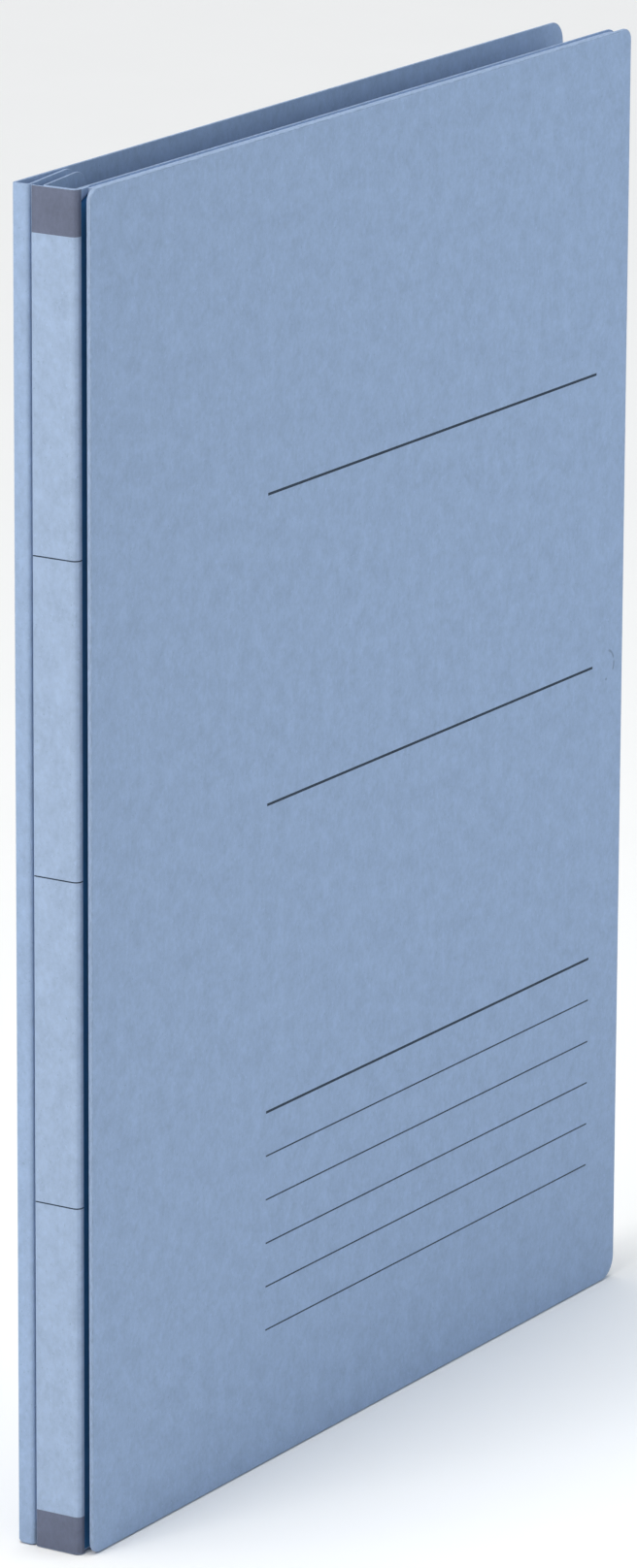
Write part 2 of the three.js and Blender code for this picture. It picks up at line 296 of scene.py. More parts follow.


# The pressed, broken ring near the fore edge, half way up: its centre, radius and three dashes. Its dashes
# are painted darker, as painted shade in the pressed grooves.
MARK_FROM_FORE = 7.6
MARK_RADIUS = 3.5
MARK_HEIGHT = MIDDLE + 1.3
MARK_LINE = 0.42
MARK_DASHES = ((15, 75), (-32, 6), (-98, -84))  # degrees from the fore edge, upwards
MARK_FULL = 0.7  # share of a dash's half length that is at full strength
MARK_FAINT = 1.1  # and where it has faded out


def pressed_ring_shade(nodes):
    """1 on the dashes of the broken ring, where painted shade darkens the card, 0 elsewhere."""
    split = nodes.tree.nodes.new("ShaderNodeSeparateXYZ")
    nodes.tree.links.new(nodes.place, split.inputs[0])
    across = nodes.math("SUBTRACT", split.outputs["X"], (FORE - MARK_FROM_FORE) * MM)
    up = nodes.math("SUBTRACT", split.outputs["Z"], MARK_HEIGHT * MM)
    squares = nodes.math("ADD", nodes.math("MULTIPLY", across, across), nodes.math("MULTIPLY", up, up))
    off = nodes.math("ABSOLUTE", nodes.math("SUBTRACT", nodes.math("SQRT", squares), MARK_RADIUS * MM))
    ring = nodes.fit(off, MARK_LINE * MM / 4, MARK_LINE * MM, 1, 0)
    angle = nodes.math("ARCTAN2", up, across)
    shares = []
    for low, high in MARK_DASHES:
        middle = math.radians((low + high) / 2)
        reach = math.radians((high - low) / 2)
        away = nodes.math("ABSOLUTE", nodes.math("SUBTRACT", angle, middle))
        shares.append(nodes.fit(away, reach * MARK_FULL, reach * MARK_FAINT, 1, 0))
    dashes = nodes.math("MAXIMUM", nodes.math("MAXIMUM", shares[0], shares[1]), shares[2])
    return nodes.math("MULTIPLY", ring, dashes)


cover_card = card_material("cover_card_face", COVER_COLOUR)
front_card = card_material("front_board_face", COVER_COLOUR, mark=pressed_ring_shade)
# the card's cut edges, in a colour darkened as painted shade against the top light
shaded_card_edge = edge_material("shaded_card_edge", SHADED_EDGE_COLOUR)
label_card = card_material("label_card_face", LABEL_COLOUR)
band_ink = ink_material("label_band_ink", BAND_COLOUR, 0.05)
line_ink = ink_material("line_ink", LINE_COLOUR, 0.08)
sheet_card = card_material("extension_sheet_face", SHEET_COLOUR)
sheet_edge = edge_material("extension_sheet_edge", SHEET_COLOUR)
fastener_plastic = plastic_material("fastener_plastic_finish", PLASTIC_COLOUR, 0.42)
lock_plastic = plastic_material("lock_plastic_finish", LOCK_COLOUR, 0.36)

# ---- Meshes ----


def finish_piece(bm, name, materials, place=None, sharp=35):
    """Turns a bmesh in millimetres into an object in metres, put in place by a matrix."""
    bmesh.ops.recalc_face_normals(bm, faces=bm.faces)
    mesh = bpy.data.meshes.new(name)
    bm.to_mesh(mesh)
    bm.free()
    mesh.transform(Matrix.Scale(MM, 4) @ (place or Matrix.Identity(4)))
    mesh.shade_smooth()
    mesh.set_sharp_from_angle(angle=math.radians(sharp))
    for material in materials:
        mesh.materials.append(material)
    piece = bpy.data.objects.new(name, mesh)
    bpy.context.scene.collection.objects.link(piece)
    return piece


def ladder(low, high, step, marks=()):
    """Values from low to high that include every mark between them and are at most step apart."""
    least = 0.02
    fixed = [low]
    for mark in sorted(marks):
        if fixed[-1] + least < mark < high - least:
            fixed.append(mark)
    fixed.append(high)
    rungs = []
    for first, second in zip(fixed, fixed[1:]):
        parts = max(1, math.ceil((second - first) / step))
        rungs += [first + (second - first) * k / parts for k in range(parts)]
    return rungs + [high]


def left_of(heading):
    return Vector((-heading.y, heading.x))


Run = namedtuple("Run", "length start heading turn radius")


class FoldedLine:
    """A line through points, seen from above, with a round fold of its own radius at each inner point."""

    def __init__(self, points, radii=()):
        points = [Vector(point) for point in points]
        self.runs = []
        here = points[0]
        for i in range(1, len(points)):
            heading = (points[i] - points[i - 1]).normalized()
            if i == len(points) - 1:
                self.runs.append(Run((points[i] - here).length, here, heading, 0, 0))
                break
            onward = (points[i + 1] - points[i]).normalized()
            turn = math.atan2(heading.x * onward.y - heading.y * onward.x, heading.dot(onward))
            radius = radii[i - 1]
            inset = radius * math.tan(abs(turn) / 2)
            stop = points[i] - heading * inset
            self.runs.append(Run((stop - here).length, here, heading, 0, 0))
            self.runs.append(Run(radius * abs(turn), stop, heading, turn, radius))
            here = points[i] + onward * inset
        self.length = sum(run.length for run in self.runs)

    def at(self, distance):
        """The place and the left-hand normal at a distance along the line."""
        for run in self.runs:
            if distance <= run.length or run is self.runs[-1]:
                break
            distance -= run.length
        if not run.turn:
            return run.start + run.heading * distance, left_of(run.heading)
        side = left_of(run.heading)
        centre = run.start + side * math.copysign(run.radius, run.turn)
        turned = Matrix.Rotation(run.turn * distance / run.length, 2)
        return centre + turned @ (run.start - centre), turned @ side

    def fold_marks(self):
        """Distances to each fold's steps."""
        marks = []
        done = 0
        for run in self.runs:
            if run.turn:
                marks += [done + run.length * k / FOLD_STEPS for k in range(FOLD_STEPS + 1)]
            done += run.length
        return marks


def drop(distance, radius):
    """How far a round corner draws the edge in, at a distance from the corner's end."""
    if distance >= radius:
        return 0
    return radius - math.sqrt(max(0, radius**2 - (radius - max(0, distance))**2))


def rounding(thickness):
    return min(ROUNDING, ROUNDING_SHARE * thickness)


def corners(length, edge, start_low=0, end_low=0, end_high=0, start_high=0):
    """A trim and its marks, for a pattern with these corner radii, drawn in by its edge rounding."""
    def trim(u):
        from_start = u - edge
        from_end = length - edge - u
        low = max(drop(from_start, start_low - edge), drop(from_end, end_low - edge))
        high = max(drop(from_start, start_high - edge), drop(from_end, end_high - edge))
        return low, high
    marks = []
    for k in range(1, CORNER_STEPS + 1):
        share = 1 - math.sin(math.pi / 2 * k / (CORNER_STEPS + 1))
        marks += [edge + (radius - edge) * share for radius in {start_low, start_high} if radius]
        marks += [length - edge - (radius - edge) * share for radius in {end_low, end_high} if radius]
    ends = [radius for radius in (start_low, start_high) if radius]
    ends += [length - radius for radius in (end_low, end_high) if radius]
    return trim, marks + ends


def card(name, line, thickness, low, high, materials, *, radii=None, trim=None, marks=(), heights=(),
         holes=(), paint=None, relief=None, step=6, place=None):
    """A card cut flat and folded along a line, with rounded cut edges, as one closed surface.

    radii are corner radii by name, or trim(u) says how far the pattern's lower and upper ends are cut in.
    holes are (u0, u1, z0, z1). paint(u, z) gives the material of a patch on the right-hand face, and
    relief(u, z) raises that face. Materials are the faces' one, the cut edge's one, then the inks.
    """
    edge = rounding(thickness)
    if radii is not None:
        trim, more = corners(line.length, edge, **radii)
        marks = [*marks, *more]
    marks = [*marks, *line.fold_marks()]
    levels = list(heights)
    for u0, u1, z0, z1 in holes:
        marks += [u0 - edge, u1 + edge]
        levels += [z0 - edge, z1 + edge]
    us = ladder(edge, line.length - edge, step, marks)
    zs = ladder(low + edge, high - edge, step, levels)
    half = thickness / 2

    def height(u, z):
        lower, upper = trim(u) if trim else (0, 0)
        near_low = max(0, 1 - (z - low - edge) / CORNER_REACH)
        near_high = max(0, 1 - (high - edge - z) / CORNER_REACH)
        return z + lower * near_low - upper * near_high

    bm = bmesh.new()

    def vertex(u, z, depth):
        point, normal = line.at(u)
        point = point + normal * depth
        return bm.verts.new((point.x, point.y, z))

    def kept(i, j):
        if not (0 <= i < len(us) - 1 and 0 <= j < len(zs) - 1):
            return False
        u = (us[i] + us[i + 1]) / 2
        z = (zs[j] + zs[j + 1]) / 2
        return not any(u0 < u < u1 and z0 < z < z1 for u0, u1, z0, z1 in holes)

    cells = [(i, j) for i in range(len(us) - 1) for j in range(len(zs) - 1) if kept(i, j)]
    flat = {}
    for i, j in cells:
        for corner in ((i, j), (i + 1, j), (i + 1, j + 1), (i, j + 1)):
            if corner not in flat:
                flat[corner] = Vector((us[corner[0]], height(us[corner[0]], zs[corner[1]])))
    right = {}
    left = {}
    for corner, (u, z) in flat.items():
        raised = relief(u, z) if relief else 0
        right[corner] = vertex(u, z, -half - raised)
        left[corner] = vertex(u, z, half)

    onward = {}
    for i, j in cells:
        loop = ((i, j), (i + 1, j), (i + 1, j + 1), (i, j + 1))
        ink = paint((us[i] + us[i + 1]) / 2, (zs[j] + zs[j + 1]) / 2) if paint else 0
        bm.faces.new([right[corner] for corner in loop]).material_index = ink
        bm.faces.new([left[corner] for corner in reversed(loop)])
        for k, beyond in enumerate(((i, j - 1), (i + 1, j), (i, j + 1), (i - 1, j))):
            if not kept(*beyond):
                onward[loop[k]] = loop[(k + 1) % 4]
    backward = {second: first for first, second in onward.items()}

    def outward(first, second):
        along = (flat[second] - flat[first]).normalized()
        return Vector((along.y, -along.x))

    rings = {}
    for corner, following in onward.items():
        before = outward(backward[corner], corner)
        after = outward(corner, following)
        mitre = (before + after).normalized()
        mitre /= max(MITRE_LEAST, mitre.dot(after))
        ring = [right[corner]]
        for way in (-1, 1):
            steps = range(1, ROUNDING_STEPS + 1) if way < 0 else range(ROUNDING_STEPS, 0, -1)
            for k in steps:
                angle = math.pi / 2 * k / ROUNDING_STEPS
                spot = flat[corner] + mitre * edge * math.sin(angle)
                depth = way * (half - edge * (1 - math.cos(angle)))
                ring.append(vertex(spot.x, spot.y, depth))
        rings[corner] = [*ring, left[corner]]
    for corner, following in onward.items():
        here = rings[corner]
        there = rings[following]
        for k in range(len(here) - 1):
            bm.faces.new((here[k], there[k], there[k + 1], here[k + 1])).material_index = 1
    return finish_piece(bm, name, materials, place)


def along_flap(point, distance):
    """The point at a distance from a fold, along a slanted flap."""
    return Vector(point) + Vector((math.cos(FLAP_SLANT), math.sin(FLAP_SLANT))) * distance


def painted(piece, slot, *nodes):
    """Hides the CAD nodes that a piece replaces, and returns the piece."""
    if nodes:
        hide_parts(*nodes)
    return piece


# ---- The fastener's own frame: its origin is on the front flap, -y is towards the front cover ----

BASE_MIDDLE = 4.65  # from the front flap's face to the middle of the base
base_centre = Vector(((BASE.x0 + BASE.x1) / 2, (BASE.y0 + BASE.y1) / 2, (BASE.z0 + BASE.z1) / 2))
slanted = Matrix.Rotation(FLAP_SLANT, 4, "Z")
FASTENER = Matrix.Translation(base_centre - slanted @ Vector((0, BASE_MIDDLE, 0))) @ slanted
HOLE_X = FASTENER.translation.x


# ---- Back cover, spine strip and back flap ----

strip_line = SPINE + COVER_CARD / 2
back_line = BACK_COVER.y1 - COVER_CARD / 2
back_fold = (strip_line, BACK_COVER.y1 - STRIP_WIDTH + COVER_CARD / 2)
BACK_RADII = (0.9, 0.7)  # of the flap's fold and the cover's fold
NICK = 1.1  # radius of the nick in the lower edge at the cover's fold
HINGE_STEP = 0.25


def strap_holes(crease):
    """The two strap slots through a flap that starts at a crease."""
    middle = (HOLE_X - crease.x) / math.cos(FLAP_SLANT)
    wide = HOLE_WIDTH / 2
    tall = HOLE_HEIGHT / 2
    heights = [MIDDLE + side * HOLE_SPACING / 2 for side in (-1, 1)]
    return [(middle - wide, middle + wide, z - tall, z + tall) for z in heights]


def build_back():
    crease = along_flap(back_fold, BACK_CREASE)
    points = [crease, back_fold, (strip_line, back_line), (FORE, back_line)]
    line = FoldedLine(points, BACK_RADII)
    edge = rounding(COVER_CARD)
    trim, marks = corners(line.length, edge, end_low=COVER_CORNER, end_high=COVER_CORNER)
    fold = sum(run.length for run in line.runs[:3]) + line.runs[3].length / 2

    def nicked(u):
        lower, upper = trim(u)
        return max(lower, drop(abs(u - fold), NICK)), upper

    hinge = [fold + k * HINGE_STEP for k in range(-8, 17)]
    cover = card("back_cover_blank", line, COVER_CARD, 0, HEIGHT, (cover_card, shaded_card_edge),
                 trim=nicked, marks=[*marks, *hinge])
    painted(cover, "cover_card", "back_spine_strip", "back_cover")
    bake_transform(cover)

    flap_line = FoldedLine([crease, along_flap(crease, BACK_FLAP)])
    flap = card("back_flap_card", flap_line, COVER_CARD, 0, HEIGHT, (cover_card, shaded_card_edge),
                radii={"end_low": FLAP_CORNER, "end_high": FLAP_CORNER},
                holes=strap_holes(crease), step=FLAP_STEP)
    painted(flap, "cover_card", "back_flap")
    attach(flap, "back_spine")


# ---- Front spine leg, inner front board and front flap ----

inner_line = INNER.y0 + BOARD_CARD / 2
FRONT_RADII = (0.5, 0.9)  # of the flap's fold and the cover's fold
OUTER_CORNER = 2.8
OUTER_LOW_CORNER = 5.4  # at the fore edge's foot
SEAM_RECESS = 0.4  # the seams stop short of the boards that they join

# The printed lines: heavy ones over the title fields, then thin ones to write on.
LINE_START = SPINE + 72.9
LINE_END = SPINE + 217.8
HEAVY = 0.62
THIN = 0.36
LAST_HEAVY = 83.6
LINE_PITCH = 10.35
PRINTED_LINES = [(226.7, HEAVY), (155.5, HEAVY), (LAST_HEAVY, HEAVY)]
PRINTED_LINES += [(LAST_HEAVY - LINE_PITCH * k, THIN) for k in range(1, 6)]

# The mouth of the pocket, where the extension sheet goes in beside the label's turned edge.
SHEET_TOP = 3.3  # the sheet's edges stop short of the file's, less so in the pocket's mouth
MOUTH_TOP = 2.0
MOUTH_BOTTOM = 0.7
MOUTH_WIDTH = 2.8
MOUTH_RAISE = 0.45
MOUTH_CLEAR = 0.2  # from the sheet's top to the raised part of the board
MOUTH_LEAD = 0.4  # the raise is taken up within this
MOUTH_FADE = 1.5  # and dies away within this
MOUTH_STEP = 0.2
MOUTH_COLUMNS = 24
MOUTH_ROWS = 17


def printed_lines(u, z):
    """2 for the ink on a printed line, 0 for the board's face."""
    x = OUTER.x0 + u
    on_line = any(abs(z - height) < width / 2 for height, width in PRINTED_LINES)
    return 2 if on_line and LINE_START < x < LINE_END else 0


def smooth(share):
    """0 below 0, 1 above 1, and an even curve between them."""
    share = min(1, max(0, share))
    return share * share * (3 - 2 * share)


def sheet_drop(x):
    """How far the sheet's top is below the file's, at a place along the pocket's mouth."""
    share = min(1, max(0, (x - LABEL.x1) / MOUTH_WIDTH))
    return SHEET_TOP + (MOUTH_TOP - SHEET_TOP) * share


def bend_with_cover(piece):
    """Bakes the piece's place into its own mesh; it stays where it was built."""
    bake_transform(piece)


def build_front():
    leg_x = SHEET.x0 + SHEET_CARD + SLIDE_GAP + BOARD_CARD / 2
    fold = (leg_x, FRONT_FOLD)
    crease = along_flap(fold, FRONT_CREASE)
    line = FoldedLine([crease, fold, (leg_x, inner_line), (INNER.x1, inner_line)], FRONT_RADII)
    spine_end = line.length - (INNER.x1 - SPINE)  # where the line would leave the spine's face

    def relaxed(u, z):
        """Above the extension sheet's slanted top, the board's mouth stands forward."""
        x = u - spine_end - (LABEL.x1 - SPINE)
        over = z - (HEIGHT - sheet_drop(SPINE + u - spine_end)) - MOUTH_CLEAR
        fading = smooth((MOUTH_WIDTH + MOUTH_FADE - x) / MOUTH_FADE)
        return MOUTH_RAISE * smooth(x / MOUTH_LEAD) * fading * smooth(over / MOUTH_LEAD)

    mouth = [spine_end + LABEL.x1 - SPINE + k * MOUTH_STEP for k in range(MOUTH_COLUMNS)]
    levels = [HEIGHT - ROUNDING - k * MOUTH_STEP for k in range(1, MOUTH_ROWS + 1)]
    blank = card("front_inner_blank", line, BOARD_CARD, 0, HEIGHT, (cover_card, shaded_card_edge),
                 radii={"end_low": COVER_CORNER, "end_high": COVER_CORNER}, marks=mouth, heights=levels,
                 relief=relaxed)
    painted(blank, "cover_card", "front_spine_leg", "front_cover_inner")
    bend_with_cover(blank)

    flap_line = FoldedLine([crease, along_flap(crease, FRONT_FLAP)])
    flap = card("front_flap_card", flap_line, BOARD_CARD, 0, HEIGHT, (cover_card, shaded_card_edge),
                radii={"end_low": FLAP_CORNER, "end_high": FLAP_CORNER},
                holes=strap_holes(crease), step=FLAP_STEP)
    painted(flap, "cover_card", "front_flap")
    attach(flap, "front_spine")

    outer_middle = OUTER.y0 + OUTER_CARD / 2
    outer_line = FoldedLine([(OUTER.x0, outer_middle), (OUTER.x1, outer_middle)])
    board = card("front_outer_board", outer_line, OUTER_CARD, 0, HEIGHT, (front_card, shaded_card_edge, line_ink),
                 radii={"start_low": OUTER_CORNER, "end_low": OUTER_LOW_CORNER,
                        "end_high": OUTER_CORNER, "start_high": OUTER_CORNER},
                 marks=[LINE_START - OUTER.x0, LINE_END - OUTER.x0],
                 heights=[z + side * width / 2 for z, width in PRINTED_LINES for side in (-1, 1)],
                 paint=printed_lines)
    painted(board, "cover_card", "front_cover_outer")
    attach(board, "front_cover")

    seams = {"pocket_top_edge": "pocket_seam_top", "pocket_bottom_edge": "pocket_seam_bottom",
             "pocket_fore_edge": "pocket_seam_fore"}
    for name, node in seams.items():
        seam = span(node)
        middle = (seam.y0 + seam.y1) / 2
        fore = name == "pocket_fore_edge"
        radii = {"end_low": COVER_CORNER, "end_high": COVER_CORNER} if fore else {}
        end = seam.x1 - SEAM_RECESS if fore else seam.x1
        strip = card(name, FoldedLine([(seam.x0, middle), (end, middle)]), seam.y1 - seam.y0,
                     max(seam.z0, SEAM_RECESS), min(seam.z1, HEIGHT - SEAM_RECESS),
                     (cover_card, shaded_card_edge), radii=radii)
        painted(strip, "cover_card", node)
        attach(strip, "front_cover")


# ---- Spine label ----

BAND_TOP = 10.3
BAND_BOTTOM = 8.7
DIVIDERS = (226.0, 154.5, 80.3)
DIVIDER_LINE = 0.3
LABEL_WRAP = 1.3
CREASE_LINES = 3
CREASE_RIDGE = 0.035
CREASE_LEAD = 0.5  # the crease lines start this far before the wrap
CREASE_STEP = 0.08
PAD_HEIGHT = 4  # the dabs of glue that hold the label to the leg, above and below the sheet
PAD_INSET = 0.3
PAD_CLEARANCE = 0.02
PAD_FROM_FOLD = 1
PAD_FROM_CORNER = 2.5


def build_label():
    face_line = LABEL.x0 + SHEET_CARD / 2
    turn_line = LABEL.y0 + SHEET_CARD / 2
    points = [(face_line, LABEL.y1), (face_line, turn_line), (LABEL.x1, turn_line)]
    line = FoldedLine(points, (LABEL_WRAP,))
    wrap = line.runs[0].length
    wrap_end = wrap + line.runs[1].length

    def paint(u, z):
        """2 for the bands' ink, 3 for the dividing lines', 0 for the label's face."""
        if z < BAND_BOTTOM or z > HEIGHT - BAND_TOP:
            return 2
        return 3 if any(abs(z - height) < DIVIDER_LINE / 2 for height in DIVIDERS) else 0

    def creases(u, z):
        if not wrap - CREASE_LEAD < u < wrap_end:
            return 0
        share = (u - wrap + CREASE_LEAD) / (wrap_end - wrap + CREASE_LEAD)
        return CREASE_RIDGE * (0.5 - 0.5 * math.cos(2 * math.pi * CREASE_LINES * share)) - CREASE_RIDGE / 2

    fine = [wrap - CREASE_LEAD + k * CREASE_STEP for k in range(27)]
    levels = [BAND_BOTTOM, HEIGHT - BAND_TOP]
    levels += [height + side * DIVIDER_LINE / 2 for height in DIVIDERS for side in (-1, 1)]
    label = card("label_card", line, SHEET_CARD, 0, HEIGHT, (label_card, shaded_card_edge, band_ink, line_ink),
                 marks=fine, heights=levels, paint=paint, relief=creases)
    painted(label, "label_card", "spine_label")
    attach(label, "front_spine")

    x0 = LABEL.x0 + SHEET_CARD + PAD_CLEARANCE
    x1 = SHEET.x0 + SHEET_CARD + SLIDE_GAP - PAD_CLEARANCE
    middle = (x0 + x1) / 2
    for name, z0 in (("label_glue_bottom", 0), ("label_glue_top", HEIGHT - PAD_HEIGHT)):
        line = FoldedLine([(middle, FRONT_FOLD - PAD_FROM_FOLD), (middle, LABEL.y0 + PAD_FROM_CORNER)])
        pad = card(name, line, x1 - x0, z0 + PAD_INSET, z0 + PAD_HEIGHT - PAD_INSET, (cover_card, shaded_card_edge))
        painted(pad, "cover_card")
        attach(pad, "front_spine")


# ---- Extension sheet: over the spine, round the front corner, then into the pocket ----

TURN_END = SPINE + 6.2
JOIN = LABEL.y0 + 1.4  # where the stretch over the spine meets the one round the corner
SHEET_HELD = 6  # the stretch that lies along the back flap
SHEET_FROM_LABEL = 0.05  # from the label's back edge to the sheet's fold
SHEET_FOLD = 0.5  # radii
SHEET_TURN = 0.6
TURN_STEP = 0.25
POCKET_INSET = 3.9


def build_extension_sheet():
    across = SHEET.x0 + SHEET_CARD / 2
    fold = (across, LABEL.y1 + SHEET_FROM_LABEL)
    turn_line = TAIL.y0 + SHEET_CARD / 2
    line = FoldedLine([along_flap(fold, SHEET_HELD), fold, (across, JOIN)], (SHEET_FOLD,))
    over = card("extension_sheet_spine", line, SHEET_CARD, SHEET.z0, SHEET.z1, (sheet_card, sheet_edge),
                step=1)
    painted(over, "sheet_card", "extension_sheet")
    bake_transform(over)

    line = FoldedLine([(across, JOIN), (across, turn_line), (TURN_END, turn_line)], (SHEET_TURN,))
    lip = line.length - (TURN_END - LABEL.x1)
    mouth_end = lip + MOUTH_WIDTH

    def trim(u):
        if u > mouth_end:
            return POCKET_INSET - MOUTH_BOTTOM, POCKET_INSET - MOUTH_TOP
        return 0, sheet_drop(TURN_END - (line.length - u)) - MOUTH_TOP

    marks = [line.length - k * TURN_STEP for k in range(1, 30)] + [lip, mouth_end, mouth_end + 0.1]
    turn = card("extension_sheet_turn", line, SHEET_CARD, MOUTH_BOTTOM, HEIGHT - MOUTH_TOP,
                (sheet_card, sheet_edge), trim=trim, marks=marks)
    painted(turn, "sheet_card")
    bend_with_cover(turn)

    line = FoldedLine([(TURN_END, turn_line), (TAIL.x1, turn_line)])
    tail = card("extension_sheet_tail", line, SHEET_CARD, TAIL.z0, TAIL.z1, (sheet_card, sheet_edge))
    painted(tail, "sheet_card", "extension_tail")
    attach(tail, "front_cover")
    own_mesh(tail)


# ---- Fastener ----

STRAP_WIDTH = 4.6
STRAP_CARD = 0.7
STRAP_BEND = 1.2
STRAP_TAIL = EXPANSION + 6
STRAP_LIE = -2.75  # the middle of a strap's tail, in front of the front flap
STRAP_STEP = 0.5
STRAP_CORNER = 2.1
STRAP_RIDGE = 0.1
RIDGE_PITCH = 4
RIDGE_MARGIN = 0.8
RIDGES_FROM = 4  # from the bend to the first ridge
RIDGES_TO_TIP = 6
LEG_END = -0.1  # where the stretch through the flaps meets the one over the bar's edge
TURN_TAIL = 3  # the part of the tail that the bend takes with it
BASE_BACK = BASE_MIDDLE + 0.35
BASE_FRONT = BASE_MIDDLE - 0.35
BASE_WIDTH = 6
BASE_LENGTH = BASE.z1 - BASE.z0
PLATE_CARD = 0.45
BASE_RIBS = (-1.9, 1.9)
BASE_RIB_HALF = 0.45
BASE_RIB_INSET = 4
BOSS_LENGTH = 7
BOSS_CORNER = 1.2

BAR_REST = -0.3  # where the bar's rib rests, in front of the front flap
RIB = 0.9
RIB_HALF = 4
BAR_BACK = BAR_REST - RIB
BAR_FACE = BAR_BACK - 1
RAIL = 0.8
BAR_WIDTH = 12
BAR_LENGTH = BAR.z1 - BAR.z0
BAR_CORNER = 3.5
SLOT_INSIDE = 0.9  # a strap slot's reach from the hole, towards the bar's middle and its end
SLOT_OUTSIDE = 1.5
SLOT_SIDE = 0.5
STOP_FROM_END = 7
STOP_HALF = 0.6
STOP_INSET = 0.4
GUIDES_ACROSS = (-3.1, 3.1)
GUIDES_ALONG = ((-36, 36), (46, 138), (-138, -46))
GUIDE_HALF = 0.2
OVERLAP = 0.2  # how far pieces of one moulding run into each other before they are joined
CUT_BACK = 2  # cutting tools reach past the bar, behind and in front
CUT_FRONT = -6
DEPTH = 5  # deeper than the bar and the locks

LOCK_WALL = 0.9
LOCK_PLAY = 0.3
LOCK_LIP = 0.5
LOCK_LIP_REACH = 1.8
LOCK_CORNER = 1.6
LOCK_RIDGES = 4
RIDGE_THICKNESS = 1
RIDGE_LENGTH = 9
RIDGE_HEIGHT = 0.4

# Turns a line drawn in the fastener's (y, z) and raised along x into the fastener's frame.
SIDEWAYS = Matrix(((0, 0, 1, 0), (1, 0, 0, 0), (0, 1, 0, 0), (0, 0, 0, 1)))


def strap_card(name, line, radii=None, relief=None, step=2):
    marks = [k * STRAP_STEP for k in range(int(line.length / STRAP_STEP))]
    return card(name, line, STRAP_CARD, -STRAP_WIDTH / 2, STRAP_WIDTH / 2,
                (fastener_plastic, fastener_plastic), radii=radii, relief=relief, step=step, marks=marks,
                place=FASTENER @ SIDEWAYS)


def build_strap(name, side):
    """One strap, in three stretches: through the flaps, over the bar's edge, and along the bar."""
    hole = side * HOLE_SPACING / 2
    bend_end = hole + side * (STRAP_BEND + TURN_TAIL)
    tip = hole + side * (STRAP_BEND + STRAP_TAIL)

    leg = strap_card(name + "_leg", FoldedLine([(BASE_FRONT - 0.05, hole), (LEG_END, hole)]))
    painted(leg, "fastener_plastic", name)
    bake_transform(leg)

    line = FoldedLine([(LEG_END, hole), (STRAP_LIE, hole), (STRAP_LIE, bend_end)], (STRAP_BEND,))
    turn = strap_card(name + "_turn", line)
    painted(turn, "fastener_plastic")
    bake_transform(turn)

    line = FoldedLine([(STRAP_LIE, bend_end), (STRAP_LIE, tip)])

    def ridges(u, x):
        near = abs(x) < STRAP_WIDTH / 2 - RIDGE_MARGIN and RIDGES_FROM < u < line.length - RIDGES_TO_TIP
        return STRAP_RIDGE * max(0, math.cos(2 * math.pi * u / RIDGE_PITCH)) if near else 0

    tail = strap_card(name + "_tail", line, radii={"end_low": STRAP_CORNER, "end_high": STRAP_CORNER},
                      relief=ridges, step=0.8)
    painted(tail, "fastener_plastic")
    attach(tail, "press_bar")
    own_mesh(tail)


def prism(outline, z0, z1):
    """An outline in (x, y), raised from z0 to z1, as a temporary object in millimetres."""
    bm = bmesh.new()
    rings = [[bm.verts.new((x, y, z)) for x, y in outline] for z in (z0, z1)]
    count = len(outline)
    for k in range(count):
        bm.faces.new((rings[0][k], rings[0][(k + 1) % count], rings[1][(k + 1) % count], rings[1][k]))
    bm.faces.new(rings[0][::-1])
    bm.faces.new(rings[1])
    bmesh.ops.recalc_face_normals(bm, faces=bm.faces)
    mesh = bpy.data.meshes.new("tool")
    bm.to_mesh(mesh)
    bm.free()
    tool = bpy.data.objects.new("tool", mesh)
    bpy.context.scene.collection.objects.link(tool)
    return tool


def rectangle(x0, x1, y0, y1):
    return [(x0, y0), (x1, y0), (x1, y1), (x0, y1)]


def stadium(width, length, steps=10):
    """A strip with round ends, along the outline's second axis."""
    radius = width / 2
    points = []
    for k in range(steps + 1):
        angle = math.pi * k / steps
        points.append((radius * math.cos(angle), length / 2 - radius + radius * math.sin(angle)))
    for k in range(steps + 1):
        angle = math.pi * (1 + k / steps)
        points.append((radius * math.cos(angle), radius - length / 2 + radius * math.sin(angle)))
    return points


def rounded(width, length, radius, steps=5):
    """A rectangle with round corners."""
    points = []
    for turn, (sx, sy) in enumerate(((1, 1), (-1, 1), (-1, -1), (1, -1))):
        for k in range(steps + 1):
            angle = math.pi / 2 * (turn + k / steps)
            points.append((sx * (width / 2 - radius) + radius * math.cos(angle),
                           sy * (length / 2 - radius) + radius * math.sin(angle)))
    return points


def laid(tool):
    """Turns a prism from (x, y) raised along z to (x, z) raised along -y."""
    tool.data.transform(Matrix.Rotation(math.pi / 2, 4, "X"))
    return tool


def apply_modifiers(piece):
    """Makes the modified shape the piece's own mesh."""
    graph = bpy.context.evaluated_depsgraph_get()
    made = bpy.data.meshes.new_from_object(piece.evaluated_get(graph))
    old = piece.data
    piece.modifiers.clear()
    piece.data = made
    bpy.data.meshes.remove(old)


def combine(piece, operation, *tools):
    for tool in tools:
        modifier = piece.modifiers.new("combine", "BOOLEAN")
        modifier.operation = operation
        modifier.solver = "EXACT"
        modifier.object = tool
        apply_modifiers(piece)
        bpy.data.objects.remove(tool)


def moulding(piece, name, material, bevel):
    """Rounds a solid's edges and puts it in the fastener's place as a finished piece."""
    modifier = piece.modifiers.new("bevel", "BEVEL")
    modifier.width = bevel
    modifier.segments = 3
    modifier.limit_method = "ANGLE"
    modifier.angle_limit = math.radians(40)
    apply_modifiers(piece)
    bm = bmesh.new()
    bm.from_mesh(piece.data)
    bpy.data.objects.remove(piece)
    bmesh.ops.remove_doubles(bm, verts=bm.verts, dist=0.0005)
    return finish_piece(bm, name, (material,), FASTENER, sharp=30)


